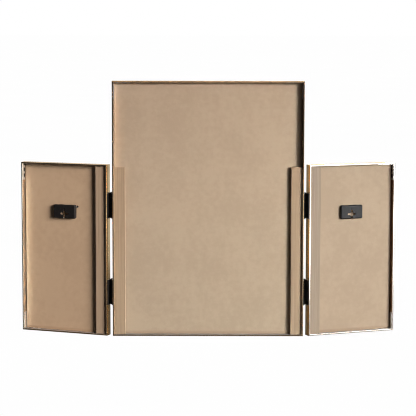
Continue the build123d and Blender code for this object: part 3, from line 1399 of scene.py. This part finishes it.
@dataclass(frozen=True)
class Viewpoint:
    """The camera behind the mirror, level with a point above it and looking slightly down."""

    across: float = -7.349 * MILLIMETRE
    distance: float = 4088.53 * MILLIMETRE
    height: float = 768.2 * MILLIMETRE
    pitch: float = math.radians(6.411)
    yaw: float = math.radians(-0.104)
    roll: float = math.radians(0.080)
    lens: float = 148.94
    sensor_width: float = 36.0
    reach: float = 200.0

    def build(self) -> None:
        """Place the camera and make it the scene's own."""
        camera = bpy.data.cameras.new("camera")
        camera.lens = self.lens
        camera.sensor_width = self.sensor_width
        camera.clip_end = self.reach
        holder = bpy.data.objects.new("camera", camera)
        heading = Matrix.Rotation(math.pi - self.yaw, 4, "Z")
        tilt = Matrix.Rotation(math.pi / 2 - self.pitch, 4, "X")
        lean = Matrix.Rotation(self.roll, 4, "Z")
        place = Matrix.Translation((self.across, self.distance, self.height))
        holder.matrix_world = place @ heading @ tilt @ lean
        bpy.context.scene.collection.objects.link(holder)
        bpy.context.scene.camera = holder


@dataclass(frozen=True)
class Studio:
    """A white paper floor, soft lights, and a surround that is dark behind the mirror."""

    floor_reach: float = 60.0
    floor_squares: int = 8
    paper: StudioPaper = StudioPaper()
    white: Colour = (1.0, 1.0, 1.0)
    ambient: float = 0.004
    front_glow: float = 1.5
    front_edge: Edge = (0.0, 0.9)
    horizon: Edge = (0.0, 0.32)
    glossy_blur: float = 0.2
    pixel_blur: float = 1.0
    lights: tuple[Softbox, ...] = (
        Softbox(
            "key_softbox", azimuth=KEY_SIDE, height=1.95, distance=6.0, width=1.8, tall=1.7,
            power=15.6, bodies=(CENTRE_BODY, LEFT_BODY), beam=KEY_BEAM, aside=(0.0, 0.0, -0.2),
        ),
        Softbox(
            "centre_softbox", azimuth=CENTRE_SIDE, height=1.95, distance=6.0, width=1.8, tall=1.7,
            power=9.5, bodies=(CENTRE_BODY,), colour=(0.76, 1.0, 1.03), beam=KEY_BEAM,
            aside=(-0.5, 0.0, -0.5),
        ),
        Softbox(
            "warm_softbox", azimuth=CENTRE_SIDE, height=1.95, distance=6.0, width=1.8, tall=1.7,
            power=4.8, bodies=(CENTRE_BODY,), colour=(1.0, 0.36, 0.18), beam=KEY_BEAM,
            aside=(0.9, 0.0, 0.6),
        ),
        Softbox(
            "wing_softbox", azimuth=WING_SIDE, height=2.15, distance=6.0, width=2.6, tall=2.7,
            power=80.0, bodies=(RIGHT_BODY,), colour=(1.0, 0.865, 0.767), beam=WING_BEAM,
        ),
        Softbox(
            "wall_softbox", azimuth=WALL_SIDE, height=2.3, distance=6.0, width=2.6, tall=2.7,
            power=240.0, nodes=OUTER_WALL, colour=(0.59, 1.03, 1.6), beam=WING_BEAM,
        ),
        Softbox(
            "rail_softbox", azimuth=KEY_SIDE, height=2.3, distance=6.0, width=1.8, tall=2.7,
            power=12.0, nodes=CENTRE_WALL, colour=(0.72, 1.03, 1.5), beam=KEY_BEAM,
        ),
        Softbox(
            "rim_card", azimuth=0.0, height=0.17, distance=3.0, width=1.2, tall=0.35,
            power=3.8, nodes=CENTRE_RIM, colour=(1.0, 0.8, 0.6),
        ),
        Softbox(
            "side_card", azimuth=CARD_SIDE, height=0.25, distance=1.0, width=0.8, tall=0.5,
            power=0.5, nodes=GAP_WALLS, colour=(0.85, 1.0, 1.2),
        ),
        Softbox(
            "low_softbox", azimuth=LOW_SIDE, height=0.17, distance=1.1, width=0.7, tall=0.34,
            power=2.2,
        ),
        Softbox(
            "front_softbox", azimuth=FRONT_SIDE, height=2.0, distance=2.6, width=2.0, tall=1.4,
            power=90.0,
        ),
    )

    def build_floor(self) -> None:
        """Lay the floor under the mirror."""
        shape = bmesh.new()
        squares = self.floor_squares
        bmesh.ops.create_grid(shape, x_segments=squares, y_segments=squares, size=self.floor_reach)
        piece = finished_piece("paper_floor", shape, 0.0, self.paper.material("studio_paper"))
        piece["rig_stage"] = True

    def build_surround(self) -> None:
        """Make the surround: white to the camera, and to the mirror only high on the glass side."""
        world = bpy.data.worlds.new("surround")
        world.use_nodes = True
        graph = ShaderGraph(world.node_tree)
        _, y, z = graph.axes(graph.node("ShaderNodeTexCoord"))
        front = graph.step(-y, *self.front_edge) * graph.step(z, *self.horizon)
        level = self.ambient + self.front_glow * front
        seen = graph.node("ShaderNodeLightPath")
        strength = level + (1.0 - level) * seen
        values = {"Color": (*self.white, 1.0), "Strength": strength}
        shade = graph.node("ShaderNodeBackground", {}, values)
        graph.node("ShaderNodeOutputWorld", {}, {"Surface": shade})
        bpy.context.scene.world = world

    def build(self, target: Vector) -> None:
        """Set the studio up round the mirror.

        Args:
            target: The point that the lights face.
        """
        self.build_floor()
        self.build_surround()
        for light in self.lights:
            light.build(target)
        scene = bpy.context.scene
        scene.view_settings.view_transform = "Standard"
        scene.cycles.blur_glossy = self.glossy_blur
        scene.cycles.filter_width = self.pixel_blur


# ---- The mirror ----


def fold_angle() -> float:
    """Find how far each wing is folded forward, from the way that its keyhole faces.

    Returns:
        The angle.
    """
    mounts = {mount["name"]: mount for mount in frame["record"]["mounts"]}
    across, back, _ = mounts["right_keyhole"]["axis"]
    return math.atan2(across, back)


def centre_panel() -> FramedPanel:
    """Describe the fixed panel in the middle.

    Returns:
        The panel.
    """
    return FramedPanel(
        name="centre",
        body=CENTRE_BODY,
        turn=0.0,
        rails={"bottom": Run.LEVEL, "right": Run.UPRIGHT, "top": Run.LEVEL, "left": Run.UPRIGHT},
        battens=("centre_left_batten", "centre_right_batten"),
        corners=tuple(Corner(side, End.TOP, Run.LEVEL) for side in Side),
        wood=BattenWood(early=(0.440, 0.311, 0.199), late=(0.366, 0.251, 0.159)),
    )


def wing_panel(side: Side, fold: float) -> FramedPanel:
    """Describe the wing on one side.

    Args:
        side: The side.
        fold: How far the wing is folded forward.

    Returns:
        The panel, in axes that turn with the wing.
    """
    name = f"{side.word}_wing"
    return FramedPanel(
        name=name,
        body=name,
        turn=side.value * fold,
        rails={"bottom": Run.LEVEL, "hinge": Run.UPRIGHT, "top": Run.LEVEL, "outer": Run.UPRIGHT},
        battens=(f"{name}_batten",),
        corners=(Corner(side, End.TOP, Run.UPRIGHT), Corner(side, End.BOTTOM, Run.LEVEL)),
        # The left wing faces the key light: its rims and sill get a painted highlight.
        wear=KEY_LIT_HIGHLIGHT if side is Side.LEFT else Wear(),
    )


def main() -> None:
    """Build the studio and dress the mirror, panel by panel."""
    logging.basicConfig(level=logging.INFO, format="%(name)s: %(message)s")
    packed_low, packed_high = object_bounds()
    fold = fold_angle()
    centre_panel().build()
    for side in Side:
        wing_panel(side, fold).build()
        tack = Tack() if side is Side.RIGHT else None
        Hanger(side, side.value * fold, tack).build()
        HingePair(side).build()
    Viewpoint().build()
    Studio().build((packed_low + packed_high) / 2)


if __name__ == "__main__":
    main()
